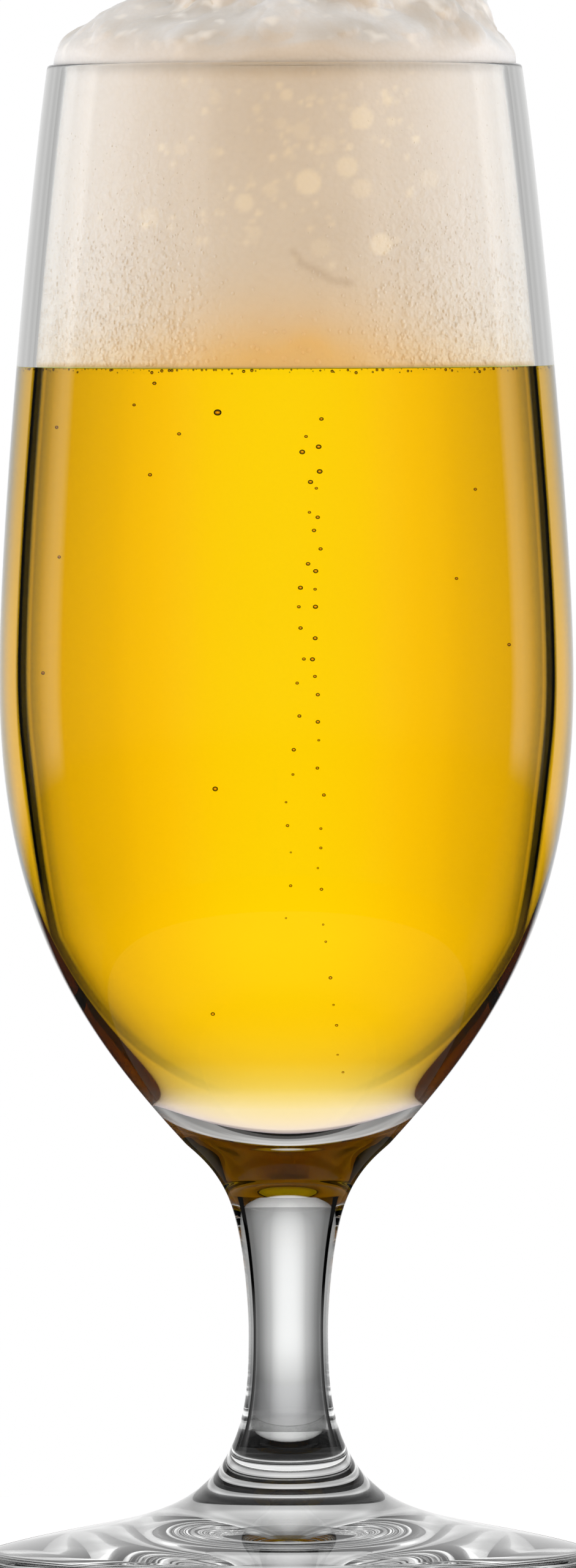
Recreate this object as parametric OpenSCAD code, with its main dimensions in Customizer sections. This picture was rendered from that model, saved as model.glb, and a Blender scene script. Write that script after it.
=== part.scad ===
// Tulip beer glass on a short stem, full of beer under a tall head of foam.
// Millimetres, Z up. The origin is where the axis of the glass meets the table.
// The glass is the stuck-stem kind: bowl, stem and foot are made apart and
// fused face to face, so each is a solid of its own with a flat joint face.

/* [Bowl] */
// Height of the bowl, from its joint with the stem to the rim
bowl_h = 142; // [126:0.5:172]
// Outer diameter at the rim
rim_d = 59.7; // [50:0.1:72]
// Lean of the wall at the rim, from upright
rim_lean = 8.3; // [4:0.1:12]
// Outer diameter at the belly
belly_d = 72.2; // [62:0.1:88]
// Height of the belly above the joint with the stem
belly_h = 65; // [52:0.5:80]
// Outer diameter where the cup opens out above the joint
neck_d = 26; // [21:0.1:31]
// Height of that place above the joint
neck_h = 6.6; // [5.2:0.1:8.4]
// Lean of the wall there, from upright
neck_lean = 42.8; // [34:0.1:52]
// Thickness of the wall
wall = 2.4; // [1.6:0.1:3.2]
// Radius of the polished corners of the rim
rim_round = 0.5; // [0.2:0.05:0.7]
// Solid glass from the joint up to the lowest point of the hollow
base_glass = 10.6; // [8:0.1:13]

/* [Stem] */
// Length of the stem between its two joints
stem_h = 31.5; // [25:0.5:60]
// Diameter at the joint with the bowl
collar_d = 15.3; // [12.6:0.1:18.6]
// Lean of the outline at that joint, from upright
collar_lean = 24.3; // [18:0.1:30]
// Diameter at the narrowest place
waist_d = 10; // [7.5:0.1:12.4]
// Height of the narrowest place above the joint with the foot
waist_h = 14.5; // [11:0.1:18]

/* [Foot] */
// Height of the foot up to its joint with the stem
foot_h = 15.5; // [12.5:0.1:19]
// Diameter of the foot
foot_d = 76; // [62:0.5:92]
// Diameter at the joint with the stem
heel_d = 14.24; // [12.6:0.02:17.4]
// Lean of the outline at that joint, from upright
heel_lean = 24.7; // [18:0.1:30]
// Radius of the rounded edge of the foot
edge_round = 1.25; // [0.9:0.05:1.6]
// Fall of the foot's top face at its edge, from level
edge_fall = 15.3; // [10:0.1:20]
// Height of the hollow under the foot, at the axis
foot_hollow = 1.5; // [0.6:0.1:2]
// Width of the flat ring that the foot rests on
rest_w = 3.7; // [2:0.1:6]

/* [Beer] */
// Depth of the beer's surface below the rim
head_h = 38; // [20:0.5:52]
// Number of bubbles in the rising string
string_count = 22; // [8:1:30]
// Diameter of the largest bubble in the string, at the top
bubble_d = 1.1; // [0.6:0.05:1.4]
// Distance of the string from the axis
string_off = 4.2; // [2:0.1:6]
// Half width of the string's wander
string_sway = 1.2; // [0.4:0.1:2]

/* [Foam] */
// Height of the foam above the rim
crown_h = 16; // [11:0.1:20]
// Bare glass left outside the foam on top of the rim
crown_inset = 0.8; // [0.7:0.05:1.4]
// Height of the low shoulder of the foam, under its lumps
shoulder_h = 8; // [6:0.1:10]

/* [Hidden] */
$fn = 96;

// Heights of the two fused joints, the belly, the rim and the beer's surface
stem_z = foot_h;
bowl_z = stem_z + stem_h;
belly_z = bowl_z + belly_h;
rim_z = bowl_z + bowl_h;
beer_z = rim_z - head_h;

// Clearance of cutting blocks past what they cut
overrun = 5;

// Steps of a short and of a long curve, and of a rounded corner
short_steps = 8;
long_steps = 18;
corner_steps = 6;

// Pull of each curve's two ends, as shares of the height or width it spans
flare_pull_shares = [0.6, 0.14];
low_pull_shares = [0.27, 0.48];
high_pull_shares = [0.245, 0.175];
hollow_pull_shares = [0.4, 0.65];
stem_top_pull_shares = [0.12, 0.29];
stem_low_pull_shares = [0.3, 0.345];
foot_pull_shares = [0.48, 0.774];
shoulder_pull_shares = [0.68, 0.66];

// Lumps of foam, the upper ones first, set a little towards +X as the froth
// leans: x and y as shares of the foam's radius on the rim, then the height of
// the centre and the radius as shares of the foam's height
lump_shares = [
    [0.12, 0.03, 0.20, 0.80],
    [0.50, 0.05, 0.21, 0.73],
    [-0.28, 0.03, 0.22, 0.69],
    [0.23, -0.32, 0.14, 0.72],
    [-0.16, -0.26, 0.15, 0.69],
    [-0.14, 0.30, 0.14, 0.72],
    [0.31, 0.33, 0.15, 0.71],
    [-0.60, -0.29, 0.03, 0.50],
    [-0.50, 0.45, 0.02, 0.50],
    [0.03, -0.69, 0.02, 0.50],
    [0.59, -0.36, 0.06, 0.50],
    [0.24, 0.69, 0.03, 0.50],
    [0.65, 0.31, 0.02, 0.45],
];

// Bubbles: the string starts at the first share of the beer's depth and ends at
// the second, and its gaps and bubbles grow on the way up from this share
string_span_shares = [0.05, 0.94];
string_growth_share = 0.55;
// Turns of the wander over the whole string
string_turns = 3.5;

// Unit vectors: up along an outline that leans outwards by an angle, and out
// along a face that falls by an angle
function up(angle) = [tan(angle), 1];
function out(angle) = [1, -tan(angle)];

// Points of a cubic curve from a to d, without a itself
function curve(a, b, c, d, steps) = [
    for (i = [1:steps])
        let (t = i / steps, u = 1 - t)
            u * u * u * a + 3 * u * u * t * b + 3 * u * t * t * c + t * t * t * d
];

// Points of an arc, both ends included
function arc(centre, radius, from, to, steps) = [
    for (i = [0:steps])
        let (angle = from + (to - from) * i / steps)
            centre + radius * [cos(angle), sin(angle)]
];

function reversed(points) = [for (i = [len(points) - 1:-1:0]) points[i]];
function last(points) = points[len(points) - 1];

// Outer outline of the bowl, from the joint up to the rounded corner of the rim
collar_point = [collar_d / 2, bowl_z];
neck_point = [neck_d / 2, bowl_z + neck_h];
belly_point = [belly_d / 2, belly_z];
rim_corner = arc([rim_d / 2 - rim_round, rim_z - rim_round], rim_round, rim_lean, 90, corner_steps);
bowl_outside = concat(
    [collar_point],
    curve(
        collar_point,
        collar_point + up(collar_lean) * neck_h * flare_pull_shares[0],
        neck_point - up(neck_lean) * neck_h * flare_pull_shares[1],
        neck_point, short_steps),
    curve(
        neck_point,
        neck_point + up(neck_lean) * (belly_h - neck_h) * low_pull_shares[0],
        belly_point - up(0) * (belly_h - neck_h) * low_pull_shares[1],
        belly_point, long_steps),
    curve(
        belly_point,
        belly_point + up(0) * (bowl_h - belly_h) * high_pull_shares[0],
        rim_corner[0] - up(-rim_lean) * (bowl_h - belly_h) * high_pull_shares[1],
        rim_corner[0], long_steps),
    [for (i = [1:corner_steps]) rim_corner[i]]);

// Outline of the hollow, from its lowest point up to the inner corner of the rim
hollow_z = bowl_z + base_glass;
hollow_point = [0, hollow_z];
inner_belly = [belly_d / 2 - wall, belly_z];
inner_corner = arc(
    [rim_d / 2 - wall + rim_round, rim_z - rim_round], rim_round, 180 + rim_lean, 90, corner_steps);
hollow_outline = concat(
    [hollow_point],
    curve(
        hollow_point,
        hollow_point + out(0) * inner_belly[0] * hollow_pull_shares[0],
        inner_belly - up(0) * (belly_z - hollow_z) * hollow_pull_shares[1],
        inner_belly, long_steps),
    curve(
        inner_belly,
        inner_belly + up(0) * (bowl_h - belly_h) * high_pull_shares[0],
        inner_corner[0] - up(-rim_lean) * (bowl_h - belly_h) * high_pull_shares[1],
        inner_corner[0], long_steps),
    [for (i = [1:corner_steps]) inner_corner[i]]);

// Outline of the stem, from the joint with the foot up to the joint with the bowl
heel_point = [heel_d / 2, stem_z];
waist_point = [waist_d / 2, stem_z + waist_h];
stem_outside = concat(
    [heel_point],
    curve(
        heel_point,
        heel_point + up(-heel_lean) * waist_h * stem_low_pull_shares[0],
        waist_point - up(0) * waist_h * stem_low_pull_shares[1],
        waist_point, short_steps),
    curve(
        waist_point,
        waist_point + up(0) * (stem_h - waist_h) * stem_top_pull_shares[0],
        collar_point - up(collar_lean) * (stem_h - waist_h) * stem_top_pull_shares[1],
        collar_point, short_steps));

// Outline of the foot, from its rounded edge up to the joint with the stem
edge_point = [foot_d / 2 - edge_round, edge_round];
edge_arc = arc(edge_point, edge_round, -90, 90 - edge_fall, corner_steps);
edge_top = last(edge_arc);
foot_top = curve(
    edge_top,
    edge_top - out(edge_fall) * (edge_top[0] - heel_point[0]) * foot_pull_shares[0],
    heel_point + up(-heel_lean) * (edge_top[1] - foot_h) * foot_pull_shares[1],
    heel_point, long_steps);

// Underside of the foot: a shallow dome inside the ring that it rests on
rest_r = edge_point[0] - rest_w;
foot_dome = [
    for (i = [0:short_steps])
        let (share = i / short_steps)
            [rest_r * share, foot_hollow * (1 - share * share)]
];

// Outline of all that the glass holds: the hollow up to the rim, and the low
// round shoulder of foam that stands on the rim
crown_r = rim_d / 2 - crown_inset;
shoulder_low = [crown_r, rim_z];
shoulder_top = [0, rim_z + shoulder_h];
filling_outline = concat(
    hollow_outline,
    [shoulder_low],
    curve(
        shoulder_low,
        shoulder_low + up(0) * shoulder_h * shoulder_pull_shares[0],
        shoulder_top + out(0) * crown_r * shoulder_pull_shares[1],
        shoulder_top, long_steps));

module bowl_section() {
    polygon(concat([[0, bowl_z]], bowl_outside, reversed(hollow_outline)));
}

// What the glass holds between two heights
module filling_section(low, high) {
    intersection() {
        polygon(filling_outline);
        translate([0, low]) square([belly_d, high - low]);
    }
}

module bowl() {
    color([0.80, 0.86, 0.87, 0.45]) rotate_extrude() bowl_section();
}

module stem() {
    color([0.72, 0.78, 0.80, 0.6]) rotate_extrude()
        polygon(concat([[0, stem_z]], stem_outside, [[0, bowl_z]]));
}

module foot() {
    color([0.76, 0.82, 0.83, 0.55]) rotate_extrude()
        polygon(concat(foot_dome, edge_arc, foot_top, [[0, stem_z]]));
}

// One string of gas bubbles, which grow and part as they rise
module bubble_string() {
    depth = beer_z - hollow_z;
    for (i = [0:string_count - 1]) {
        rise = i / (string_count - 1);
        growth = string_growth_share + (1 - string_growth_share) * rise;
        place = string_span_shares[0] + (string_span_shares[1] - string_span_shares[0]) * rise * growth;
        sway = 360 * string_turns * rise;
        translate([
            string_off + string_sway * sin(sway),
            -string_off + string_sway * cos(sway),
            hollow_z + depth * place + bubble_d])
            sphere(d = bubble_d * growth, $fn = 24);
    }
}

module beer() {
    color([0.98, 0.70, 0.08]) difference() {
        rotate_extrude() filling_section(bowl_z, beer_z);
        bubble_string();
    }
}

// Lumps of froth, cut off at the rim and at the foam's outer edge
module foam_lumps() {
    intersection() {
        for (lump = lump_shares)
            translate([lump[0] * crown_r, lump[1] * crown_r, rim_z + lump[2] * crown_h])
                sphere(r = lump[3] * crown_h, $fn = 48);
        translate([0, 0, rim_z]) cylinder(r = crown_r, h = crown_h + overrun);
    }
}

module foam_head() {
    color([0.94, 0.90, 0.84]) {
        rotate_extrude() filling_section(beer_z, rim_z + crown_h);
        foam_lumps();
    }
}

bowl();
stem();
foot();
beer();
foam_head();
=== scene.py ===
"""Tulip beer glass: materials, fine foam, bubbles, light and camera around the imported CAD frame.

Lengths in this file are millimetres until a mesh, material or camera is made, and angles are degrees.
The glass stands on z = 0 with its axis on Z, and the camera looks along +Y.
"""
import math

import bpy
import numpy as np
from mathutils import Matrix, Vector


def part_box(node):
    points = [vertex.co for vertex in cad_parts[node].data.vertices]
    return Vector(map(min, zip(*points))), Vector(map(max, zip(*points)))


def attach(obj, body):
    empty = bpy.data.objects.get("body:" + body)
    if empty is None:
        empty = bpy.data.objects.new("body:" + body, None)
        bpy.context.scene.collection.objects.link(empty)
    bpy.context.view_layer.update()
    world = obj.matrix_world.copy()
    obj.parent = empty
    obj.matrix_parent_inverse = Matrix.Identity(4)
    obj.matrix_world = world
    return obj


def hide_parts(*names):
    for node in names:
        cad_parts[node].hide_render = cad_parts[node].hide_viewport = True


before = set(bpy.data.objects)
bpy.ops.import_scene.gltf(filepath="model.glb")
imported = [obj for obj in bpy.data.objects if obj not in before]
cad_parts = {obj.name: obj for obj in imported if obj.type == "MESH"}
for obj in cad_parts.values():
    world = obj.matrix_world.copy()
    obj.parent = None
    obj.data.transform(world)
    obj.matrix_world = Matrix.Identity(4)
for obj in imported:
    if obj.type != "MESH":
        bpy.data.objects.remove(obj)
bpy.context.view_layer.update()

MM = 0.001


# Sizes that the CAD nodes give
def low_z(node):
    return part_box(node)[0].z / MM


def high_z(node):
    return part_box(node)[1].z / MM


def half_width(node):
    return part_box(node)[1].x / MM


stem_z = low_z("stem")
bowl_z = low_z("bowl")
rim_z = high_z("bowl")
hollow_z = low_z("beer")
beer_z = high_z("beer")
crown_z = high_z("foam_head")
belly_r = half_width("bowl")
foot_r = half_width("foot")

# The other sizes of the glass, as its source has them
rim_r = 29.85
rim_lean = 8.3
belly_h = 65.0
neck_r = 13.0
neck_h = 6.6
neck_lean = 42.8
wall = 2.4
rim_round = 0.5
collar_r = 7.65
collar_lean = 24.3
waist_r = 5.0
waist_h = 14.5
heel_r = 7.12
heel_lean = 24.7
edge_round = 1.25
edge_fall = 15.3
foot_hollow = 1.5
rest_w = 3.7
crown_inset = 0.8
shoulder_h = 8.0

# Pull of each curve's two ends, as shares of the height or width it spans
flare_pull_shares = (0.6, 0.14)
low_pull_shares = (0.27, 0.48)
high_pull_shares = (0.245, 0.175)
hollow_pull_shares = (0.4, 0.65)
stem_top_pull_shares = (0.12, 0.29)
stem_low_pull_shares = (0.3, 0.345)
foot_pull_shares = (0.48, 0.774)

# Heights and radii worked out from them
belly_z = bowl_z + belly_h
crown_r = rim_r - crown_inset
inner_belly_r = belly_r - wall

# Steps of short curves, long curves and rounded corners, and segments round the axis
short_steps = 36
long_steps = 90
corner_steps = 10
round_steps = 256

# A radius below this is on the axis
on_axis = 1e-6


# Outlines in (radius, height)
def point(r, z):
    return np.array([r, z], float)


def up(lean):
    return point(math.tan(math.radians(lean)), 1)


def out(fall):
    return point(1, -math.tan(math.radians(fall)))


def curve(a, b, c, d, steps):
    """Points of a cubic curve from a to d, without a itself."""
    t = (np.arange(1, steps + 1) / steps)[:, None]
    u = 1 - t
    return u**3 * a + 3 * u * u * t * b + 3 * u * t * t * c + t**3 * d


def arc(centre, radius, start, end, steps=corner_steps):
    """Points of an arc, both ends included."""
    turn = np.radians(np.linspace(start, end, steps + 1))
    return centre + radius * np.stack([np.cos(turn), np.sin(turn)], 1)


def line(a, b, steps):
    """Points of a straight line from a to b, without a itself."""
    t = (np.arange(1, steps + 1) / steps)[:, None]
    return a + (b - a) * t


def bowl_outline():
    """Outside of the bowl, from the joint up to the top of the rim."""
    collar = point(collar_r, bowl_z)
    neck = point(neck_r, bowl_z + neck_h)
    belly = point(belly_r, belly_z)
    corner = arc(point(rim_r - rim_round, rim_z - rim_round), rim_round, rim_lean, 90)
    low_h = belly_h - neck_h
    high_h = rim_z - belly_z
    return np.concatenate([
        [collar],
        curve(collar, collar + up(collar_lean) * neck_h * flare_pull_shares[0],
              neck - up(neck_lean) * neck_h * flare_pull_shares[1], neck, short_steps),
        curve(neck, neck + up(neck_lean) * low_h * low_pull_shares[0],
              belly - up(0) * low_h * low_pull_shares[1], belly, long_steps),
        curve(belly, belly + up(0) * high_h * high_pull_shares[0],
              corner[0] - up(-rim_lean) * high_h * high_pull_shares[1], corner[0], long_steps),
        corner[1:]])


def hollow_outline():
    """Inside of the bowl, from its lowest point up to the top of the rim."""
    bottom = point(0, hollow_z)
    belly = point(inner_belly_r, belly_z)
    corner = arc(point(rim_r - wall + rim_round, rim_z - rim_round), rim_round, 180 + rim_lean, 90)
    high_h = rim_z - belly_z
    return np.concatenate([
        [bottom],
        curve(bottom, bottom + out(0) * inner_belly_r * hollow_pull_shares[0],
              belly - up(0) * (belly_z - hollow_z) * hollow_pull_shares[1], belly, long_steps),
        curve(belly, belly + up(0) * high_h * high_pull_shares[0],
              corner[0] - up(-rim_lean) * high_h * high_pull_shares[1], corner[0], long_steps),
        corner[1:]])


def stem_outline():
    """Outside of the stem, from the joint with the foot up to the joint with the bowl."""
    heel = point(heel_r, stem_z)
    waist = point(waist_r, stem_z + waist_h)
    collar = point(collar_r, bowl_z)
    top_h = bowl_z - stem_z - waist_h
    return np.concatenate([
        [heel],
        curve(heel, heel + up(-heel_lean) * waist_h * stem_low_pull_shares[0],
              waist - up(0) * waist_h * stem_low_pull_shares[1], waist, short_steps),
        curve(waist, waist + up(0) * top_h * stem_top_pull_shares[0],
              collar - up(collar_lean) * top_h * stem_top_pull_shares[1], collar, short_steps)])


def foot_outline():
    """Whole outline of the foot, from the middle of its underside to the joint with the stem."""
    heel = point(heel_r, stem_z)
    edge = arc(point(foot_r - edge_round, edge_round), edge_round, -90, 90 - edge_fall)
    rim_top = edge[-1]
    rest_r = foot_r - edge_round - rest_w
    share = np.linspace(0, 1, short_steps + 1)
    dome = np.stack([rest_r * share, foot_hollow * (1 - share**2)], 1)
    return np.concatenate([
        dome,
        edge,
        curve(rim_top, rim_top - out(edge_fall) * (rim_top[0] - heel_r) * foot_pull_shares[0],
              heel + up(-heel_lean) * (rim_top[1] - stem_z) * foot_pull_shares[1], heel, long_steps)])


# Meshes
def mesh_object(name, verts, faces, materials, face_material=None, sharp=40):
    """A smooth mesh from points in millimetres, with edges over the sharp angle kept."""
    mesh = bpy.data.meshes.new(name)
    mesh.from_pydata((np.asarray(verts) * MM).tolist(), [], faces)
    for material in materials:
        mesh.materials.append(material)
    mesh.update()
    mesh.shade_smooth()
    if face_material is not None:
        mesh.polygons.foreach_set("material_index", np.asarray(face_material, np.int32))
    mesh.set_sharp_from_angle(angle=math.radians(sharp))
    obj = bpy.data.objects.new(name, mesh)
    bpy.context.scene.collection.objects.link(obj)
    return obj


def lathe(outline, segments=round_steps):
    """Points and faces of an outline turned round Z. The outline runs with its solid on the left."""
    turn = 2 * np.pi * np.arange(segments) / segments
    circle = np.stack([np.cos(turn), np.sin(turn)], 1)
    verts = []
    rows = []
    for r, z in outline:
        start = len(verts)
        if r < on_axis:
            verts.append((0, 0, z))
            rows.append([start] * segments)
        else:
            verts.extend((r * c, r * s, z) for c, s in circle)
            rows.append(list(range(start, start + segments)))
    faces = []
    bands = []
    for i in range(len(rows) - 1):
        a, b = rows[i], rows[i + 1]
        for j in range(segments):
            k = (j + 1) % segments
            if a[j] == a[k]:
                faces.append((a[j], b[k], b[j]))
            elif b[j] == b[k]:
                faces.append((a[j], a[k], b[j]))
            else:
                faces.append((a[j], a[k], b[k], b[j]))
            bands.append(i)
    return verts, faces, bands


# Materials
glass_ior = 1.5
beer_ior = 1.333
# Grain and depth of the faint waviness of blown glass
wave_size = 9.0
wave_depth = 0.004
# The stem's painted light and shade by slant, in place of the bright and dark surroundings seen through it:
# 0 is square to the ray, 1 is edge on. The black is a painted dark line along its sides
stem_painted_shades = (
    (0.0, 0.84), (0.02, 0.79), (0.1, 0.34), (0.2, 0.22), (0.32, 0.09), (0.4, 0.09), (0.415, 0.0),
    (0.51, 0.0), (0.525, 0.45), (0.6, 0.66), (0.7, 0.8), (1.0, 0.93),
)

# The beer's colours by slant: its amber, with painted bands of light and shade along its edges. The painted
# dark line lies near 0.24, between two painted bright ones
upper_beer_and_painted_bands = (
    (0.0, (1, 0.865, 0.08)), (0.015, (1, 0.84, 0.08)), (0.03, (0.995, 0.806, 0.08)),
    (0.05, (0.975, 0.765, 0.08)), (0.08, (0.93, 0.73, 0.08)), (0.103, (0.87, 0.68, 0.08)),
    (0.145, (0.81, 0.63, 0.08)), (0.17, (0.8, 0.62, 0.08)), (0.19, (0.75, 0.59, 0.1)),
    (0.205, (0.68, 0.53, 0.12)), (0.222, (0.45, 0.36, 0.13)), (0.23, (0.4, 0.3, 0.1)),
    (0.2315, (1, 0.8, 0.3)), (0.2335, (1, 0.8, 0.3)), (0.235, (0.05, 0.045, 0.035)),
    (0.246, (0.05, 0.045, 0.035)), (0.248, (0, 0, 0)), (0.256, (0, 0, 0)), (0.259, (1, 0.83, 0.2)),
    (0.276, (1, 0.85, 0.2)), (0.286, (0.85, 0.74, 0.6)), (0.292, (0.6, 0.56, 0.54)),
    (0.302, (0.6, 0.56, 0.54)), (0.32, (1, 0.85, 0.6)), (0.45, (1, 0.85, 0.7)), (1.0, (1, 0.93, 0.85)),
)
lower_beer_and_painted_bands = (
    (0.0, (1, 0.87, 0.08)), (0.03, (1, 0.835, 0.08)), (0.06, (1, 0.8, 0.08)), (0.1, (1, 0.785, 0.08)),
    (0.15, (0.95, 0.72, 0.08)), (0.19, (0.82, 0.61, 0.1)), (0.22, (0.66, 0.49, 0.1)),
    (0.233, (0.4, 0.3, 0.08)), (0.256, (0.36, 0.26, 0.07)), (0.264, (0.88, 0.65, 0.1)),
    (0.32, (0.88, 0.63, 0.1)), (0.45, (1, 0.85, 0.75)), (1.0, (1, 0.93, 0.85)),
)
# Height over which the beer's look changes, from its lowest point. The values below count in it
low_span = 20.0
# Painted light low in the beer: how much white is painted in there, for the light that the thick base sends
# into it
painted_low_whites = ((0.0, 1), (0.22, 1), (0.32, 0.67), (0.42, 0.33), (0.62, 0.13), (0.92, 0))
painted_low_white = (1, 0.93, 0.99, 1)
# Height where the upper colours begin to take over from the lower ones
upper_start = 0.5
# The painted dark line moves to larger slants below this height, since the wall leans and thickens there
lean_start = 2.3
lean_growth = 0.045
lean_limit = 0.058
# Colour and density of what the beer takes up
beer_body = (0.982, 0.92, 0.0, 1)
beer_density = 40.0

# The foam's colours by height, from the beer's surface at 0 to the rim at 1
foam_heights = (
    (0.0, (0.56, 0.74, 0.09)), (0.003, (0.6, 0.42, 0.16)), (0.009, (0.7, 0.56, 0.32)),
    (0.02, (0.87, 0.83, 0.75)), (0.12, (0.865, 0.84, 0.79)), (0.35, (0.85, 0.835, 0.81)),
    (0.96, (0.85, 0.84, 0.83)), (1.0, (0.83, 0.83, 0.82)),
)
# Painted shade in its seams, by distance from the middle of a cell, with the size of the cells and the
# depth of their bump
foam_seam_shade = ((0.0, (1, 1, 1)), (0.45, (0.995, 0.993, 0.99)), (0.8, (0.975, 0.97, 0.965)))
seam_size = 0.6
seam_depth = 0.15
seam_strength = 0.25
# Rough grain by the glass
grain_size = 0.75
grain_depth = 0.5
# Clouds on the crown: size, the noise where each starts and where it is full, and colour
crown_clouds = ((8.0, 0.42, 0.62, (0.66, 0.62, 0.56, 1)), (3.4, 0.58, 0.72, (1, 0.98, 0.93, 1)))
cloud_strength = 0.75
cloud_growth = 12.0
# Colours of the painted light and shade that the foam's mesh carries: a painted amber glow, painted glints
# and painted shade
painted_mark_colours = (
    ("amber", (1, 0.73, 0.32, 1)),
    ("pale", (1, 0.97, 0.88, 1)),
    ("dark", (0.55, 0.47, 0.38, 1)),
)
# How far light travels in the foam, by colour, and in millimetres at most
foam_glow = (1.0, 0.9, 0.8)
foam_glow_depth = 1.5


def new_material(name):
    """An empty node material, with its tree and its output node."""
    material = bpy.data.materials.new(name)
    material.use_nodes = True
    tree = material.node_tree
    tree.nodes.clear()
    output = tree.nodes.new("ShaderNodeOutputMaterial")
    return material, tree, output


def add(tree, kind, **sockets):
    """A new node with socket values set by name, spaces written as underscores."""
    node = tree.nodes.new(kind)
    for key, value in sockets.items():
        node.inputs[key.replace("_", " ")].default_value = value
    return node


def math_in(tree, kind, a, b=None):
    """A math node on numbers or sockets."""
    node = tree.nodes.new("ShaderNodeMath")
    node.operation = kind
    for socket, value in ((0, a), (1, b)):
        if isinstance(value, (int, float)):
            node.inputs[socket].default_value = value
        elif value is not None:
            tree.links.new(value, node.inputs[socket])
    return node.outputs[0]


def held(tree, value):
    """The value held between 0 and 1."""
    return math_in(tree, "MINIMUM", math_in(tree, "MAXIMUM", value, 0.0), 1.0)


def object_place(tree):
    """Coordinates on the object in metres: the vector, then x, y and z."""
    vector = tree.nodes.new("ShaderNodeTexCoord").outputs["Object"]
    split = tree.nodes.new("ShaderNodeSeparateXYZ")
    tree.links.new(vector, split.inputs[0])
    return (vector, *split.outputs)


def height_share(tree, z, low, high):
    """A height as a share of the way from low to high, which are in millimetres."""
    return math_in(tree, "DIVIDE", math_in(tree, "SUBTRACT", z, low * MM), (high - low) * MM)


def facing(tree):
    """Slant of a surface: 0 where it is square to the ray, 1 where it is edge on."""
    return tree.nodes.new("ShaderNodeLayerWeight").outputs["Facing"]


def has_been(tree, kind):
    """1 where the ray's path already has a bounce of this kind, else 0."""
    return math_in(tree, "MINIMUM", tree.nodes.new("ShaderNodeLightPath").outputs[f"{kind} Depth"], 1.0)


def colour_ramp(tree, value, stops):
    """Colour by a value from 0 to 1."""
    node = tree.nodes.new("ShaderNodeValToRGB")
    marks = node.color_ramp.elements
    while len(marks) > 1:
        marks.remove(marks[-1])
    marks[0].position = stops[0][0]
    marks[0].color = (*stops[0][1], 1)
    for at, colour in stops[1:]:
        marks.new(at).color = (*colour, 1)
    tree.links.new(value, node.inputs["Fac"])
    return node.outputs["Color"]


def grey_ramp(tree, value, stops):
    """Grey by a value that runs up to the last stop."""
    stretch = float(stops[-1][0])
    marks = [(at / stretch, (grey,) * 3) for at, grey in stops]
    return colour_ramp(tree, math_in(tree, "DIVIDE", value, stretch), marks)


def colour_mix(tree, kind, factor, a, b):
    """Two colours mixed. Each input is a number, a colour or a socket."""
    node = tree.nodes.new("ShaderNodeMix")
    node.data_type = "RGBA"
    node.blend_type = kind
    sides = [socket for socket in node.inputs if socket.type == "RGBA"]
    for socket, value in ((node.inputs["Factor"], factor), (sides[0], a), (sides[1], b)):
        if isinstance(value, (int, float, tuple)):
            socket.default_value = value
        else:
            tree.links.new(value, socket)
    return [socket for socket in node.outputs if socket.type == "RGBA"][0]


def shader_mix(tree, factor, a, b):
    """Two shader nodes mixed by a socket: 0 gives the first."""
    node = tree.nodes.new("ShaderNodeMixShader")
    for socket, value in zip(node.inputs, (factor, a.outputs[0], b.outputs[0])):
        tree.links.new(value, socket)
    return node


def layer(tree, name):
    """A value from 0 to 1 that the mesh carries at its points."""
    node = tree.nodes.new("ShaderNodeAttribute")
    node.attribute_name = name
    return node.outputs["Fac"]


def glass_material(name, colour, greys=None):
    """Clear glass, wavy as blown glass is.

    greys colours it by slant instead, with painted light and shade in place of the surroundings seen
    through it, and colour is then for programs that can't follow that.
    """
    material, tree, output = new_material(name)
    shader = add(tree, "ShaderNodeBsdfPrincipled", Base_Color=colour, Roughness=0.0, IOR=glass_ior,
                 Transmission_Weight=1)
    grain = add(tree, "ShaderNodeTexNoise", Scale=1 / (wave_size * MM), Detail=2.0)
    bump = add(tree, "ShaderNodeBump", Strength=1.0, Distance=wave_depth * MM)
    tree.links.new(object_place(tree)[0], grain.inputs["Vector"])
    tree.links.new(grain.outputs["Fac"], bump.inputs["Height"])
    tree.links.new(bump.outputs["Normal"], shader.inputs["Normal"])
    if greys is not None:
        stops = [(at, (grey, grey * 1.01, grey * 1.005)) for at, grey in greys]
        tree.links.new(colour_ramp(tree, facing(tree), stops), shader.inputs["Base Color"])
    tree.links.new(shader.outputs["BSDF"], output.inputs["Surface"])
    return material


def joint_material():
    """Fused joints inside the glass, which nothing shows."""
    material, tree, output = new_material("fused_joint")
    shader = add(tree, "ShaderNodeBsdfTransparent")
    tree.links.new(shader.outputs["BSDF"], output.inputs["Surface"])
    return material


def wet_glass_material():
    """The inside of the bowl under the beer. It bends light, and the beer's own surface mirrors it."""
    material, tree, output = new_material("wet_glass")
    shader = add(tree, "ShaderNodeBsdfRefraction", Color=(1, 1, 1, 1), Roughness=0.0, IOR=glass_ior)
    tree.links.new(shader.outputs["BSDF"], output.inputs["Surface"])
    return material


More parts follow.
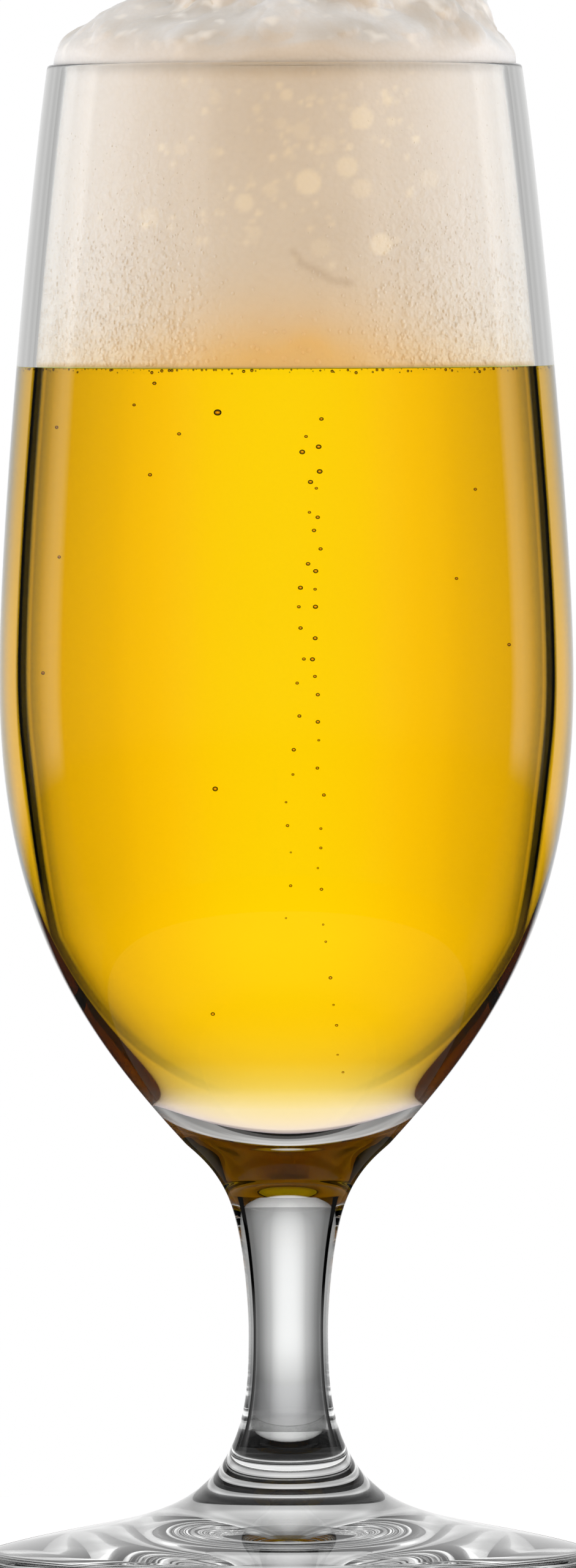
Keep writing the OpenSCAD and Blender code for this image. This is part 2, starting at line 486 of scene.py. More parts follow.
def beer_material():
    """Clear amber lager: a liquid against glass, round a body that takes up blue and some green. Its colour
    by slant paints bands of light and shade along its edges, and painted white light lies low in it.
    """
    material, tree, output = new_material("amber_beer")
    _, _, _, z = object_place(tree)
    from_low = height_share(tree, z, hollow_z, hollow_z + low_span)
    lean = math_in(tree, "MAXIMUM", math_in(tree, "SUBTRACT", lean_start, from_low), 0.0)
    lean = math_in(tree, "MULTIPLY", math_in(tree, "POWER", lean, 2.0), lean_growth)
    slant = math_in(tree, "SUBTRACT", facing(tree), math_in(tree, "MINIMUM", lean, lean_limit))
    midway = held(tree, math_in(tree, "SUBTRACT", from_low, upper_start))
    # The beer's amber by slant, with painted bands of light and shade along its edges
    tint = colour_mix(tree, "MIX", midway, colour_ramp(tree, slant, lower_beer_and_painted_bands),
                      colour_ramp(tree, slant, upper_beer_and_painted_bands))
    # Painted white light low in the beer, for what the thick base sends into it
    white = colour_ramp(tree, from_low, [(at, (grey,) * 3) for at, grey in painted_low_whites])
    tint = colour_mix(tree, "MIX", white, tint, painted_low_white)

    bends = add(tree, "ShaderNodeBsdfRefraction", Roughness=0.0, IOR=beer_ior)
    tree.links.new(tint, bends.inputs["Color"])
    mirrors = add(tree, "ShaderNodeBsdfGlossy", Color=(1, 1, 1, 1), Roughness=0.0)
    share = add(tree, "ShaderNodeFresnel", IOR=beer_ior / glass_ior)
    both = shader_mix(tree, share.outputs["Fac"], bends, mirrors)
    tree.links.new(both.outputs["Shader"], output.inputs["Surface"])
    body = add(tree, "ShaderNodeVolumeAbsorption", Color=beer_body, Density=beer_density)
    tree.links.new(body.outputs["Volume"], output.inputs["Volume"])
    return material


def foam_material(name, softness):
    """Cream froth with fine cells, amber near the beer, and painted shade in the seams. The mesh says where
    painted glints, painted shade and a painted amber glow lie.
    """
    material, tree, output = new_material(name)
    link = tree.links.new
    shader = add(tree, "ShaderNodeBsdfPrincipled", Roughness=0.42, IOR=1.33, Subsurface_Weight=softness,
                 Subsurface_Radius=foam_glow, Subsurface_Scale=foam_glow_depth * MM)
    vector, _, _, z = object_place(tree)
    share = height_share(tree, z, beer_z, rim_z)
    body = colour_ramp(tree, share, foam_heights)
    cells = add(tree, "ShaderNodeTexVoronoi", Scale=1 / (seam_size * MM))
    link(vector, cells.inputs["Vector"])
    # Painted shade in the seams between the cells
    body = colour_mix(tree, "MULTIPLY", 1.0, body, colour_ramp(tree, cells.outputs["Distance"], foam_seam_shade))

    above = held(tree, math_in(tree, "MULTIPLY", math_in(tree, "SUBTRACT", share, 1.0), cloud_growth))
    for size, start, full, colour in crown_clouds:
        clouds = add(tree, "ShaderNodeTexNoise", Scale=1 / (size * MM), Detail=1.0)
        link(vector, clouds.inputs["Vector"])
        stops = ((start, (0, 0, 0)), (full, (cloud_strength,) * 3))
        patch = colour_ramp(tree, clouds.outputs["Fac"], stops)
        body = colour_mix(tree, "MIX", math_in(tree, "MULTIPLY", patch, above), body, colour)
    # Painted amber glow, painted glints and painted shade, where the mesh carries them
    for painted_mark, colour in painted_mark_colours:
        body = colour_mix(tree, "MIX", layer(tree, painted_mark), body, colour)
    link(body, shader.inputs["Base Color"])

    bump = add(tree, "ShaderNodeBump", Strength=seam_strength, Distance=seam_depth * MM)
    bump.invert = True
    link(cells.outputs["Distance"], bump.inputs["Height"])
    grain = add(tree, "ShaderNodeTexNoise", Scale=1 / (grain_size * MM), Detail=1.0)
    link(vector, grain.inputs["Vector"])
    rough = add(tree, "ShaderNodeBump", Distance=grain_depth * MM)
    link(layer(tree, "grain"), rough.inputs["Strength"])
    link(grain.outputs["Fac"], rough.inputs["Height"])
    link(bump.outputs["Normal"], rough.inputs["Normal"])
    link(rough.outputs["Normal"], shader.inputs["Normal"])
    link(shader.outputs["BSDF"], output.inputs["Surface"])
    return material


# The glass
CLEAR, FUSED, WET = range(3)


def glass_piece(name, node, outline, kinds, clear):
    """A turned piece of glass in place of a CAD node. kinds says what each band of its outline is."""
    verts, faces, bands = lathe(outline)
    obj = mesh_object(name, verts, faces, [clear, fused_joint, wet_glass], [kinds[i] for i in bands])
    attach(obj, "root")
    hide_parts(node)


def make_bowl():
    outside = bowl_outline()
    inside = hollow_outline()[::-1]
    outline = np.concatenate([[point(0, bowl_z)], outside, inside])
    kinds = [FUSED] + [CLEAR] * len(outside) + [WET if z < beer_z else CLEAR for z in inside[:-1, 1]]
    glass_piece("blown_bowl", "bowl", outline, kinds, clear_glass)


def make_stem():
    outside = stem_outline()
    outline = np.concatenate([[point(0, stem_z)], outside, [point(0, bowl_z)]])
    kinds = [FUSED] + [CLEAR] * (len(outside) - 1) + [FUSED]
    glass_piece("solid_stem", "stem", outline, kinds, stem_glass)


def make_foot():
    outside = foot_outline()
    outline = np.concatenate([outside, [point(0, stem_z)]])
    kinds = [CLEAR] * (len(outside) - 1) + [FUSED]
    glass_piece("pressed_foot", "foot", outline, kinds, thick_glass)


clear_glass = glass_material("clear_glass", (0.985, 0.985, 0.97, 1))
stem_glass = glass_material("stem_glass", (0.85, 0.86, 0.855, 1), stem_painted_shades)
thick_glass = glass_material("thick_glass", (0.97, 0.975, 0.97, 1))
fused_joint = joint_material()
wet_glass = wet_glass_material()
make_bowl()
make_stem()
make_foot()


# The beer reaches into the wall by this much, so that no air is left between them
beer_overlap = 0.04
# Steps across its surface, and the height under it where the outline turns into it
surface_steps = 12
surface_margin = 0.05
# Two strands of rising bubbles, from the lowest up: x and height
strands = (
    ((5.3, 66.0), (4.8, 74.0), (3.3, 85.7), (3.2, 96.6), (2.9, 112.4), (2.9, 127.0), (3.3, 135.4),
     (3.5, 144.9), (4.0, 147.8)),
    ((0.2, 84.6), (0.5, 99.7), (1.0, 109.7), (1.3, 112.3), (1.6, 119.8), (1.7, 123.7), (2.8, 129.1),
     (1.6, 139.1), (2.1, 142.5)),
)
strand_y = -1.5
strand_gaps = (1.8, 4.2)
strand_sizes = (0.26, 0.5)
strand_spread = (0.7, 1.25)
strand_sway = (0.3, 0.5)
# Bubbles by themselves: x, height and diameter
loose_bubbles = (
    (-6.6, 144.8, 0.78), (-12.6, 148.4, 0.42), (-15.0, 145.8, 0.36), (-10.2, 142.1, 0.4),
    (-13.3, 137.1, 0.42), (-22.7, 143.0, 0.4), (-23.2, 127.0, 0.4), (-6.9, 99.2, 0.55),
    (-23.8, 112.7, 0.42), (-7.2, 73.5, 0.42), (18.2, 135.1, 0.36), (16.4, 124.1, 0.36), (21.9, 116.0, 0.4),
)
loose_depths = (-4, 1)
# Small bubbles that cling to the glass right under the foam
cling_count = 300
cling_sizes = (0.12, 0.42)
cling_gap = 0.06
cling_drop = 0.5
cling_wander = 0.8


def widened(outline, amount):
    """The outline moved outwards by an amount, square to itself, with its ends kept on their lines."""
    step = np.gradient(outline, axis=0)
    step /= np.linalg.norm(step, axis=1)[:, None]
    moved = outline + amount * np.stack([step[:, 1], -step[:, 0]], 1)
    moved[0, 0] = 0
    return moved


def wall_at(z):
    """Radius of the hollow at a height."""
    inside = hollow_outline()
    return float(np.interp(z, inside[:, 1], inside[:, 0]))


def beer_outline():
    inside = widened(hollow_outline(), beer_overlap)
    under = inside[inside[:, 1] < beer_z - surface_margin]
    edge = point(wall_at(beer_z) + beer_overlap, beer_z)
    return np.concatenate([under, [edge], line(edge, point(0, beer_z), surface_steps)])


def ball(verts, faces, centre, size, segments=14, rings=8):
    """Adds a round hole to a mesh, size across. Its faces look inwards."""
    start = len(verts)
    x, y, z = centre
    radius = size / 2
    verts.append((x, y, z + radius))
    for i in range(1, rings):
        fall = math.pi * i / rings
        level = radius * math.sin(fall)
        height = z + radius * math.cos(fall)
        for j in range(segments):
            turn = 2 * math.pi * j / segments
            verts.append((x + level * math.cos(turn), y + level * math.sin(turn), height))
    verts.append((x, y, z - radius))
    last = len(verts) - 1
    for j in range(segments):
        k = (j + 1) % segments
        faces.append((start, start + 1 + k, start + 1 + j))
        for i in range(rings - 2):
            row = start + 1 + i * segments
            faces.append((row + j, row + k, row + segments + k, row + segments + j))
        row = last - segments
        faces.append((row + j, row + k, last))


def make_beer():
    """The beer with its gas bubbles as holes, so that one closed mesh holds the whole liquid."""
    verts, faces, _ = lathe(beer_outline())
    chance = np.random.default_rng(7)
    for strand in strands:
        xs, heights = np.array(strand).T
        z = heights[0]
        while z < heights[-1]:
            rise = (z - heights[0]) / (heights[-1] - heights[0])
            size = strand_sizes[0] + (strand_sizes[1] - strand_sizes[0]) * rise
            size *= chance.uniform(*strand_spread)
            x = np.interp(z, heights, xs) + chance.normal(0, strand_sway[0])
            y = strand_y + chance.normal(0, strand_sway[1])
            ball(verts, faces, (x, y, z), size)
            z += chance.uniform(*strand_gaps)
    for x, z, size in loose_bubbles:
        ball(verts, faces, (x, chance.uniform(*loose_depths), z), size)
    for i in range(cling_count):
        size = cling_sizes[0] + (cling_sizes[1] - cling_sizes[0]) * chance.uniform()**2
        turn = 2 * math.pi * (i + chance.uniform(0, cling_wander)) / cling_count
        z = beer_z - cling_gap - size / 2 - cling_drop * chance.uniform()**3
        r = wall_at(z) - cling_gap - size / 2
        ball(verts, faces, (r * math.cos(turn), r * math.sin(turn), z), size, segments=10, rings=6)
    obj = mesh_object("lager", verts, faces, [beer_material()])
    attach(obj, "root")
    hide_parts("beer")


make_beer()


# The foam stands off the glass by a hair, and clings to it in a narrow band under the rim
foam_gap = 0.16
rim_overlap = 0.03
cling_below_rim = 0.9
cling_fade = 0.4
# Depth of its underside below the beer's surface
foam_dip = 0.1
under_steps = 8
side_rows = 84
ledge_steps = 4
foam_rows = 112
foam_segments = 440
# How squarely its shoulder turns, how sharply its lumps meet, and the least that a lump counts for
shoulder_power = 2.5
blend_power = 22.0
shortest_reach = 0.1
# Lumps: x and y as shares of the foam's radius, height and radius as shares of its height
lump_shares = (
    (0.12, 0.03, 0.20, 0.80),
    (0.50, 0.05, 0.21, 0.73),
    (-0.28, 0.03, 0.22, 0.69),
    (0.23, -0.32, 0.14, 0.72),
    (-0.16, -0.26, 0.15, 0.69),
    (-0.14, 0.30, 0.14, 0.72),
    (0.31, 0.33, 0.15, 0.71),
    (-0.60, -0.29, 0.03, 0.50),
    (-0.50, 0.45, 0.02, 0.50),
    (0.03, -0.69, 0.02, 0.50),
    (0.59, -0.36, 0.06, 0.50),
    (0.24, 0.69, 0.03, 0.50),
    (0.65, 0.31, 0.02, 0.45),
)
# Hills on the crown: count, lengths and height
hills = (30, (6, 16), 0.3)
# Bumps on it: count, radii, and height as a share of the radius. None has its middle lower than this
bumps = ((420, (0.9, 2.8), 0.2), (1500, (0.35, 0.8), 0.3))
lowest_bump = 0.12
# Hills and bumps fade out towards the rim, below this share of the way up
lump_fade = 0.12

# Painted soft glints of larger bubbles that show through the glass: x, height, radius and strength
painted_bubble_glints = (
    (2.8, 174.0, 1.75, 0.8), (9.3, 181.9, 1.6, 0.65), (7.5, 175.9, 1.5, 0.6), (11.6, 166.3, 1.5, 0.7),
    (-4.9, 171.5, 1.3, 0.6), (9.3, 173.2, 1.4, 0.4), (4.3, 165.9, 1.4, 0.3), (0.2, 184.8, 0.95, 0.6),
    (2.0, 180.4, 1.2, 0.35), (-0.5, 181.3, 0.95, 0.35), (12.4, 184.2, 0.85, 0.7), (12.9, 181.5, 0.8, 0.5),
    (-1.7, 173.1, 1.1, 0.4), (5.1, 178.6, 1.2, 0.3), (-3.4, 183.1, 0.75, 0.5), (-8.4, 184.4, 0.9, 0.3),
    (-12.6, 178.2, 1.0, 0.3), (-16.3, 169.8, 1.3, 0.3), (-3.8, 167.8, 1.1, 0.3), (-8.4, 177.8, 0.9, 0.25),
    (17.4, 174.4, 1.3, 0.25), (0.5, 177.9, 0.6, 0.7), (1.4, 178.5, 0.5, 0.6), (3.0, 183.6, 0.55, 0.8),
    (-9.9, 170.2, 0.55, 0.6), (-7.6, 170.1, 0.5, 0.5), (-1.1, 174.1, 0.55, 0.5), (4.4, 184.0, 0.6, 0.5),
    (6.9, 183.4, 0.7, 0.4), (-2.1, 184.6, 0.5, 0.6),
)
glint_edge = 0.4
glint_gain = 1.3
# Small ones round them: how many, how far off in x and height, radii and strengths
small_glint_count = 130
small_glint_spread = (2.4, 2.0)
small_glint_radii = (0.25, 0.65)
small_glint_strengths = (0.35, 0.8)
# Painted shade along a crease through these places, x and height, with its width and strength
crease = ((1.0, 165.4), (2.0, 163.9), (3.8, 163.1), (5.6, 161.9), (7.8, 161.5))
crease_shade_width = 0.5
crease_shade_strength = 0.4
# Painted shade in duller places there: x, height, radius and strength
painted_shade_clouds = ((-3.0, 182.0, 9.0, 0.14), (3.0, 187.5, 8.0, 0.12), (5.0, 168.0, 4.5, 0.1))
# Painted amber glows of light from the beer in the foam, with rise counted from the beer's surface. A wide
# one: strength, middle, width and height
wide_painted_glow = (0.8, 1, 15, 8)
# A spot over the string of bubbles: strength, x, rise and size
spot_painted_glow = (0.25, 2.8, 2.5, 2.5)
# A thin band along the surface: strength, height, width, and how squarely its ends stop
band_painted_glow = (0.3, 3.5, 27, 8)
# The rough grain: the angle from the front where it starts, how soon it is full, and its height
grain_from = 0.12
grain_turn = 0.5
grain_height = 32.0

# Cells of the froth that press on the glass
cell_count = 4600
cell_sizes = (0.12, 0.36)
cell_spread = (0.6, 1.25)
cell_steps = 8
# Their margins over the beer and under the rim, how they crowd low down, and how fast they shrink upwards
cell_margins = (0.5, 2.5)
cell_crowding = (1.0, 2.2)
cell_shrink = 1.6
# The angle from the front within which most of them are left out, and the share that is
clear_turn = 0.34
clear_share = 0.85
# A cell's shape: height over width, bulge as a share of its size and of the gap, and its rings
cell_height = 1.15
cell_bulges = (0.4, 0.75)
cell_rings = ((0.6, 0.75), (1.0, -0.1))


def crown_reach(aim, lumps):
    """How far the foam reaches from the middle of the rim's plane, along unit vectors. lumps adds to it."""
    crown_h = crown_z - rim_z
    level = np.hypot(aim[:, 0], aim[:, 1])
    shoulder = (level / crown_r)**shoulder_power + (aim[:, 2] / shoulder_h)**shoulder_power
    reach = [shoulder**(-1 / shoulder_power)]
    for x, y, z, r in lump_shares:
        centre = np.array([x * crown_r, y * crown_r, z * crown_h])
        along = aim @ centre
        square = (r * crown_h)**2 - centre @ centre + along**2
        far = np.maximum(along + np.sqrt(np.maximum(square, 0)), shortest_reach)
        reach.append(np.where(square > 0, far, shortest_reach))
    blended = (np.stack(reach)**blend_power).sum(0)**(1 / blend_power) + lumps
    return np.minimum(blended, crown_r / np.maximum(level, on_axis))


def relief(aim, count, sizes, height_share, chance):
    """Round bumps on the crown along unit vectors: the height of the tallest bump there."""
    turn = chance.uniform(0, 2 * math.pi, count)
    rise = chance.uniform(lowest_bump, 1, count)
    level = np.sqrt(1 - rise**2)
    centres = np.stack([level * np.cos(turn), level * np.sin(turn), rise], 1)
    radii = chance.uniform(*sizes, count) / crown_r
    bump = np.zeros(len(aim))
    for centre, radius in zip(centres, radii):
        inside = 1 - ((aim - centre)**2).sum(1) / radius**2
        bump = np.maximum(bump, crown_r * radius * height_share * np.sqrt(np.maximum(inside, 0)))
    return bump


def waves(aim, count, lengths, height, chance):
    """Gentle hills on the crown along unit vectors, as a sum of waves."""
    total = np.zeros(len(aim))
    for _ in range(count):
        way = chance.normal(size=3)
        way *= 2 * math.pi * crown_r / (np.linalg.norm(way) * chance.uniform(*lengths))
        total += np.sin(aim @ way + chance.uniform(0, 2 * math.pi))
    return height * total / math.sqrt(count)


def small_painted_glints():
    """Small painted glints of bubbles round the larger ones, in the same form."""
    chance = np.random.default_rng(41)
    found = []
    for _ in range(small_glint_count):
        near_x, near_z, _, _ = painted_bubble_glints[chance.integers(len(painted_bubble_glints))]
        found.append((near_x + chance.normal(0, small_glint_spread[0]),
                      near_z + chance.normal(0, small_glint_spread[1]),
                      chance.uniform(*small_glint_radii), chance.uniform(*small_glint_strengths)))
    return tuple(found)


def painted_marks_and_grain(points):
    """Painted glints of bubbles, painted shade along a crease and in duller places, a painted amber glow,
    and rough grain on the foam, at its points.
    """
    x, y, z = points.T
    front = y < 0
    # Painted glints of bubbles, on the front only
    pale = np.zeros(len(points))
    for at_x, at_z, radius, strength in painted_bubble_glints + small_painted_glints():
        inside = np.clip((radius - np.hypot(x - at_x, z - at_z)) / glint_edge, 0, 1)
        pale = np.maximum(pale, np.where(front, np.minimum(1, glint_gain * strength) * inside, 0))
    # Painted shade along a crease and in duller places, on the front only
    dark = np.zeros(len(points))
    for (ax, az), (bx, bz) in zip(crease[:-1], crease[1:]):
        along = ((x - ax) * (bx - ax) + (z - az) * (bz - az)) / ((bx - ax)**2 + (bz - az)**2)
        share = np.clip(along, 0, 1)
        far = np.hypot(x - ax - share * (bx - ax), z - az - share * (bz - az))
        dark = np.maximum(dark, np.where(front, crease_shade_strength * np.exp(-(far / crease_shade_width)**2), 0))
    for at_x, at_z, radius, strength in painted_shade_clouds:
        far = np.hypot(x - at_x, z - at_z)
        dark = np.maximum(dark, np.where(front, strength * np.exp(-(far / radius)**2), 0))
    rise = z - beer_z
    # Painted amber glow of light from the beer, near its surface
    strength, middle, width, height = wide_painted_glow
    glow = strength * np.exp(-((np.abs(x) - middle) / width)**2 - (rise / height)**2)
    strength, at_x, at_rise, size = spot_painted_glow
    glow += strength * np.exp(-((x - at_x) / size)**2 - ((rise - at_rise) / size)**2)
    strength, height, width, power = band_painted_glow
    glow += strength * np.exp(-(rise / height)**2 - (np.abs(x) / width)**power)
    glow *= z > beer_z - foam_dip / 2
    aside = np.clip((np.abs(np.arctan2(x, -y)) - grain_from) / grain_turn, 0, 1)
    grain = aside * np.clip(1 - rise / grain_height, 0, 1) * (z > beer_z)
    return {"pale": pale, "dark": dark, "amber": np.clip(glow, 0, 1), "grain": grain}


def carry_painted_marks(obj, verts):
    """Puts the painted light and shade and the grain on a mesh as values at its points."""
    for name, values in painted_marks_and_grain(np.array(verts)).items():
        values = values.astype(np.float32)
        obj.data.attributes.new(name, "FLOAT", "POINT").data.foreach_set("value", values)


def foam_side():
    """Outline of the foam against the glass."""
    inside = hollow_outline()
    near_rim = np.clip((inside[:, 1:] - rim_z + cling_below_rim) / cling_fade, 0, 1)
    return widened(inside, -foam_gap + (foam_gap + rim_overlap) * near_rim)


def foam_below_crown():
    """Outline of the foam, from the middle of its underside up the glass and onto the rim."""
    inside = foam_side()
    corner = inside[-corner_steps - 1:]
    low = point(wall_at(beer_z) - foam_gap, beer_z - foam_dip)
    middle = point(0, low[1])
    heights = np.linspace(low[1], corner[0, 1], side_rows + 1)[1:-1]
    side = np.stack([np.interp(heights, inside[:, 1], inside[:, 0]), heights], 1)
    ledge = point(crown_r, rim_z - rim_overlap)
    return np.concatenate([[middle], line(middle, low, under_steps), side, corner,
                           line(corner[-1], ledge, ledge_steps)])


def crown_aims():
    """Unit vectors from the middle of the rim's plane to the points of the crown, row by row."""
    turn = 2 * np.pi * np.arange(foam_segments) / foam_segments
    rise = np.pi / 2 * np.arange(1, foam_rows) / foam_rows
    aim = np.stack([
        np.outer(np.cos(rise), np.cos(turn)).ravel(),
        np.outer(np.cos(rise), np.sin(turn)).ravel(),
        np.repeat(np.sin(rise), foam_segments)], 1)
    return np.concatenate([aim, [[0, 0, 1]]])


def make_foam():
    """The whole mass of foam as one closed mesh."""
    chance = np.random.default_rng(11)
    outline = foam_below_crown()
    verts, faces, _ = lathe(outline, foam_segments)
    aim = crown_aims()
    lumps = waves(aim, *hills, chance)
    for bump in bumps:
        lumps += relief(aim, *bump, chance)
    reach = crown_reach(aim, (lumps - lumps.mean()) * np.clip(aim[:, 2] / lump_fade, 0, 1))
    last_row = len(verts) - foam_segments
    verts.extend(map(tuple, aim * reach[:, None] + (0, 0, outline[-1, 1])))
    for _ in range(foam_rows - 1):
        start = last_row + foam_segments
        for j in range(foam_segments):
            k = (j + 1) % foam_segments
            faces.append((last_row + j, last_row + k, start + k, start + j))
        last_row = start
    for j in range(foam_segments):
        faces.append((last_row + j, last_row + (j + 1) % foam_segments, len(verts) - 1))
    obj = mesh_object("froth", verts, faces, [beer_foam])
    carry_painted_marks(obj, verts)
    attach(obj, "root")
    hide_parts("foam_head")


def add_cell(verts, faces, turn, r, z, size):
    """Adds one small closed lens to a mesh: it lies on the foam's side and bulges towards the glass."""
    side = np.array([-math.sin(turn), math.cos(turn), 0])
    away = np.array([math.cos(turn), math.sin(turn), 0])
    middle = away * r + (0, 0, z)
    bulge = min(size * cell_bulges[0], foam_gap * cell_bulges[1])
    start = len(verts)
    verts.append(tuple(middle + away * bulge))
    for wide, out_share in cell_rings:
        for j in range(cell_steps):
            angle = 2 * math.pi * j / cell_steps
            spot = side * math.cos(angle) + np.array([0, 0, cell_height * math.sin(angle)])
            verts.append(tuple(middle + spot * size * wide + away * bulge * out_share))
    verts.append(tuple(middle - away * bulge))
    inner = start + 1
    outer = inner + cell_steps
    for j in range(cell_steps):
        k = (j + 1) % cell_steps
        faces.append((start, inner + j, inner + k))
        faces.append((inner + j, outer + j, outer + k, inner + k))
        faces.append((outer + j, outer + cell_steps, outer + k))


def make_cells():
    """Small round bubbles of the froth that press on the glass, larger and closer near the beer."""
    chance = np.random.default_rng(23)
    inside = widened(hollow_outline(), -foam_gap)
    verts = []
    faces = []
    for _ in range(cell_count):
        up_share = chance.beta(*cell_crowding)
        z = beer_z + cell_margins[0] + up_share * (rim_z - beer_z - sum(cell_margins))
        size = cell_sizes[1] + (cell_sizes[0] - cell_sizes[1]) * min(1, up_share * cell_shrink)
        size *= chance.uniform(*cell_spread)
        turn = chance.uniform(0, 2 * math.pi)
        from_front = abs(math.remainder(turn + math.pi / 2, 2 * math.pi))
        if from_front < clear_turn and chance.uniform() < clear_share:
            continue
        r = np.interp(z, inside[:, 1], inside[:, 0])
        add_cell(verts, faces, turn, r, z, size)
    obj = mesh_object("froth_cells", verts, faces, [foam_cells], sharp=60)
    carry_painted_marks(obj, verts)
    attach(obj, "root")


beer_foam = foam_material("beer_foam", 0.2)
foam_cells = foam_material("foam_cells", 0.0)
make_foam()
make_cells()


# The table top is a round disc, a hair under the glass
floor_r = 138.0
floor_h = 20.0
floor_drop = 0.03
floor_segments = 128
floor_colour = (0.5, 0.5, 0.5, 1)
floor_own_light = 0.68
# By distance from the axis as a share of its radius: where it is near, and its grey in a mirror
floor_near = ((0.0, 1.0), (0.26, 1.0), (0.42, 0.0), (1.0, 0.0))
floor_mirrored = ((0.0, 0.01), (0.5, 0.01), (0.6, 0.08), (1.0, 0.1))
# Seen through the glass, it has these colours near and far
near_colour = (0.98, 0.98, 0.98, 1)
far_colour = (0.75, 0.75, 0.76, 1)


def make_floor():
    """A pale table top. Part of its white is its own, so that the far edge melts into the backdrop."""
    material, tree, output = new_material("pale_table")
    _, x, y, _ = object_place(tree)
    squares = [math_in(tree, "POWER", side, 2.0) for side in (x, y)]
    away = math_in(tree, "SQRT", math_in(tree, "ADD", *squares))
    away = math_in(tree, "DIVIDE", away, floor_r * MM)
    lit = add(tree, "ShaderNodeBsdfDiffuse", Color=floor_colour)
    own = add(tree, "ShaderNodeEmission", Color=(1, 1, 1, 1), Strength=floor_own_light)
    plain = tree.nodes.new("ShaderNodeAddShader")
    tree.links.new(lit.outputs["BSDF"], plain.inputs[0])
    tree.links.new(own.outputs["Emission"], plain.inputs[1])
    behind = add(tree, "ShaderNodeEmission", Strength=1.0)
    near = grey_ramp(tree, away, floor_near)
    tree.links.new(colour_mix(tree, "MIX", near, far_colour, near_colour), behind.inputs["Color"])
    dim = add(tree, "ShaderNodeEmission", Strength=1.0)
    tree.links.new(grey_ramp(tree, away, floor_mirrored), dim.inputs["Color"])
    unlit = math_in(tree, "SUBTRACT", 1.0, has_been(tree, "Diffuse"))
    bent = math_in(tree, "MULTIPLY", has_been(tree, "Transmission"), unlit)
    through = shader_mix(tree, bent, plain, behind)
    shown = shader_mix(tree, has_been(tree, "Glossy"), through, dim)
    tree.links.new(shown.outputs["Shader"], output.inputs["Surface"])
    outline = [(0, -floor_h), (floor_r, -floor_h), (floor_r, -floor_drop), (0, -floor_drop)]
    verts, faces, _ = lathe(outline, floor_segments)
    mesh_object("table_top", verts, faces, [material])


# The studio's brightness by angle in degrees. Heights count from straight down
wall_light = (
    (0, 0.5), (68, 0.6), (78, 0.64), (80.8, 0.66), (84, 0.85), (86.2, 1.0), (108, 1.0), (125, 0.7),
    (180, 0.6),
)
through_gain = 1.15
# Soft boxes and the gaps between them, by angle from the far side, and how they fade up and down
box_light = (
    (0, 1.0), (32, 0.6), (40, 0.55), (41, 0.005), (50, 0.005), (51, 0.15), (62, 0.35), (70, 1.0),
    (74, 1.0), (78, 0.05), (180, 0.02),
)
box_heights = ((0, 0.02), (81, 0.02), (84, 1.0), (108, 1.0), (125, 0.25), (180, 0.1))
# Bands that mirrors inside the glass see, by angle from the nearest of the four sides
inner_bands = (
    (0, 0.62), (5, 0.6), (9, 0.52), (15, 0.49), (18, 0.475), (23, 0.6), (26, 0.5), (28, 0.45),
    (31, 0.52), (33, 0.53), (37, 0.62), (40, 0.95), (45, 1.0),
)
inner_heights = ((0, 1.0), (100, 1.0), (106, 1.4), (180, 1.4))
# Soft light on all else, by share of the turn from the far side to the camera, and from above
soft_sides = (
    (0.0, (0.8, 0.78, 0.75)), (0.25, (0.8, 0.78, 0.75)), (0.36, (1.76, 1.81, 1.92)),
    (0.6, (1.76, 1.81, 1.92)), (0.86, (0.68, 0.39, 0.1)),
)
soft_above = (0.68, 0.66, 0.64, 1)
above_share = ((0, 0.0), (25, 0.0), (60, 1.0), (90, 1.0))


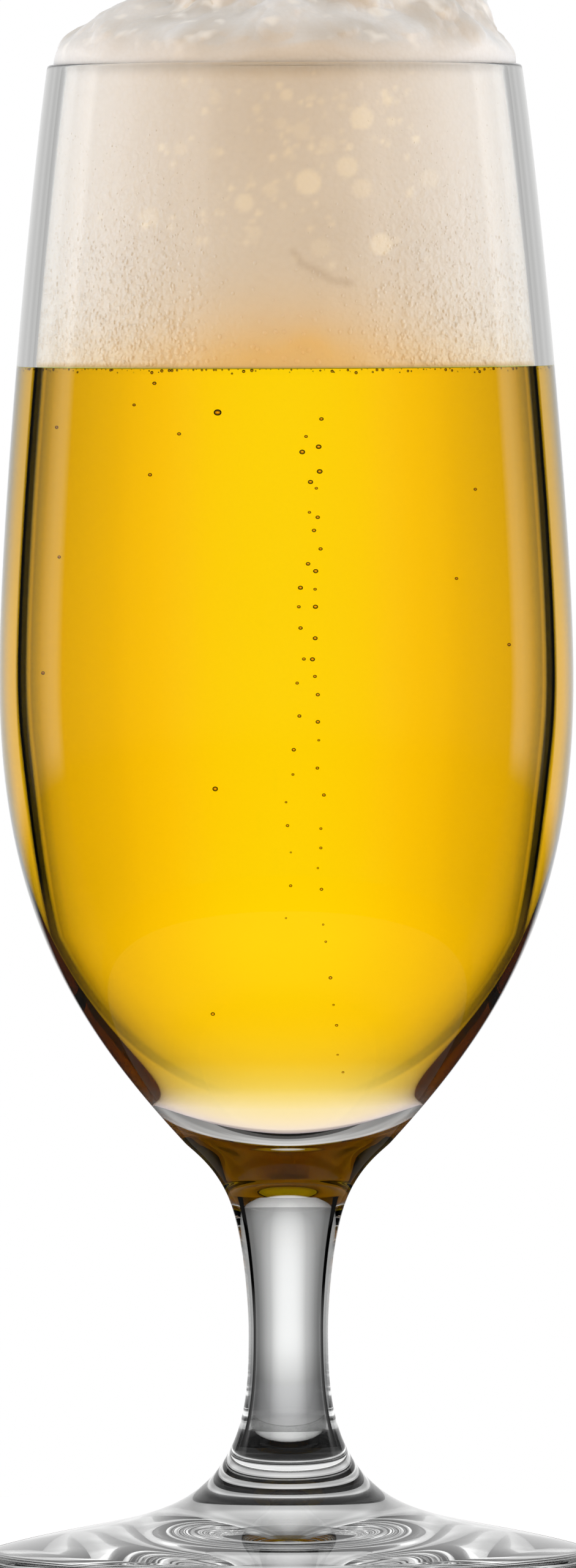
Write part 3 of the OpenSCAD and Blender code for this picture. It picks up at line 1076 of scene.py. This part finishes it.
def make_world():
    """White to the camera, a soft light on all that is lit, and a studio for the glass.

    Rays that the glass bends see a wall that is brightest level with it. Rays mirrored on its outside
    see soft boxes with dark gaps, and rays mirrored inside it see fine bands.
    """
    world = bpy.data.worlds.new("studio")
    bpy.context.scene.world = world
    world.use_nodes = True
    tree = world.node_tree
    tree.nodes.clear()

    def math_node(kind, a, b=None):
        return math_in(tree, kind, a, b)

    def mix(factor, a, b):
        return colour_mix(tree, "MIX", factor, a, b)

    def times(a, b):
        return colour_mix(tree, "MULTIPLY", 1.0, a, b)

    place = tree.nodes.new("ShaderNodeTexCoord")
    split = tree.nodes.new("ShaderNodeSeparateXYZ")
    tree.links.new(place.outputs["Generated"], split.inputs[0])
    x, y, z = split.outputs
    to_degrees = 180 / math.pi
    across = math_node("ABSOLUTE", x)
    along = math_node("ABSOLUTE", y)
    aside = math_node("MULTIPLY", math_node("ARCTAN2", across, y), to_degrees)
    nearest = math_node("ARCTAN2", math_node("MINIMUM", across, along), math_node("MAXIMUM", across, along))
    nearest = math_node("MULTIPLY", nearest, to_degrees)
    rise = math_node("MULTIPLY", math_node("ARCSINE", z), to_degrees)
    height = math_node("ADD", rise, 90.0)

    wall_seen = grey_ramp(tree, height, wall_light)
    through = times(wall_seen, (through_gain, through_gain, through_gain, 1))
    boxes = times(grey_ramp(tree, aside, box_light), grey_ramp(tree, height, box_heights))
    bands = times(grey_ramp(tree, nearest, inner_bands), grey_ramp(tree, height, inner_heights))
    outside = math_node("SUBTRACT", 1.0, has_been(tree, "Transmission"))
    outer_mirror = math_node("MULTIPLY", has_been(tree, "Glossy"), outside)
    mirrored = mix(outer_mirror, times(bands, wall_seen), boxes)
    glass_sees = mix(has_been(tree, "Glossy"), through, mirrored)

    around = colour_ramp(tree, math_node("DIVIDE", aside, 180.0), soft_sides)
    above = grey_ramp(tree, math_node("MAXIMUM", rise, 0.0), above_share)
    soft = mix(above, around, soft_above)
    rays = tree.nodes.new("ShaderNodeLightPath").outputs
    lit = math_node("MINIMUM", math_node("ADD", rays["Is Diffuse Ray"], rays["Diffuse Depth"]), 1.0)
    shown = mix(lit, glass_sees, soft)
    colour = mix(rays["Is Camera Ray"], shown, (1, 1, 1, 1))
    background = add(tree, "ShaderNodeBackground", Strength=1.0)
    output = tree.nodes.new("ShaderNodeOutputWorld")
    tree.links.new(colour, background.inputs["Color"])
    tree.links.new(background.outputs[0], output.inputs["Surface"])


# The photograph's view: from 2.3 m away, a little over the glass, with a long lens and a slight roll
eye_place = (0, -2300, 165)
aim_place = (0.16, 0, 98.65)
roll = -0.17
half_view = 98.5
sensor_h = 36
clip_near = 50
clip_far = 20000


def make_camera():
    """Looks at the glass as the photograph does."""
    eye = Vector(eye_place) * MM
    aim = Vector(aim_place) * MM
    camera = bpy.data.cameras.new("photo_view")
    camera.sensor_fit = "VERTICAL"
    camera.sensor_height = sensor_h
    camera.lens = sensor_h / 2 * (aim - eye).length / (half_view * MM)
    camera.clip_start = clip_near * MM
    camera.clip_end = clip_far * MM
    obj = bpy.data.objects.new("photo_view", camera)
    turn = (aim - eye).to_track_quat("-Z", "Y").to_matrix().to_4x4()
    obj.matrix_world = Matrix.Translation(eye) @ turn @ Matrix.Rotation(math.radians(roll), 4, "Z")
    bpy.context.scene.collection.objects.link(obj)
    bpy.context.scene.camera = obj


def clear_defaults():
    """Takes out what a new Blender file starts with."""
    for name in ("Cube", "Light", "Camera"):
        found = bpy.data.objects.get(name)
        if found is not None:
            bpy.data.objects.remove(found)


clear_defaults()
make_floor()
make_world()
make_camera()

# Paths long enough for glass round beer round bubbles, with sharp mirrored light kept
scene = bpy.context.scene
scene.view_settings.view_transform = "Standard"
scene.cycles.blur_glossy = 0
scene.cycles.max_bounces = 24
scene.cycles.transmission_bounces = 24
scene.cycles.glossy_bounces = 12
scene.cycles.transparent_max_bounces = 24
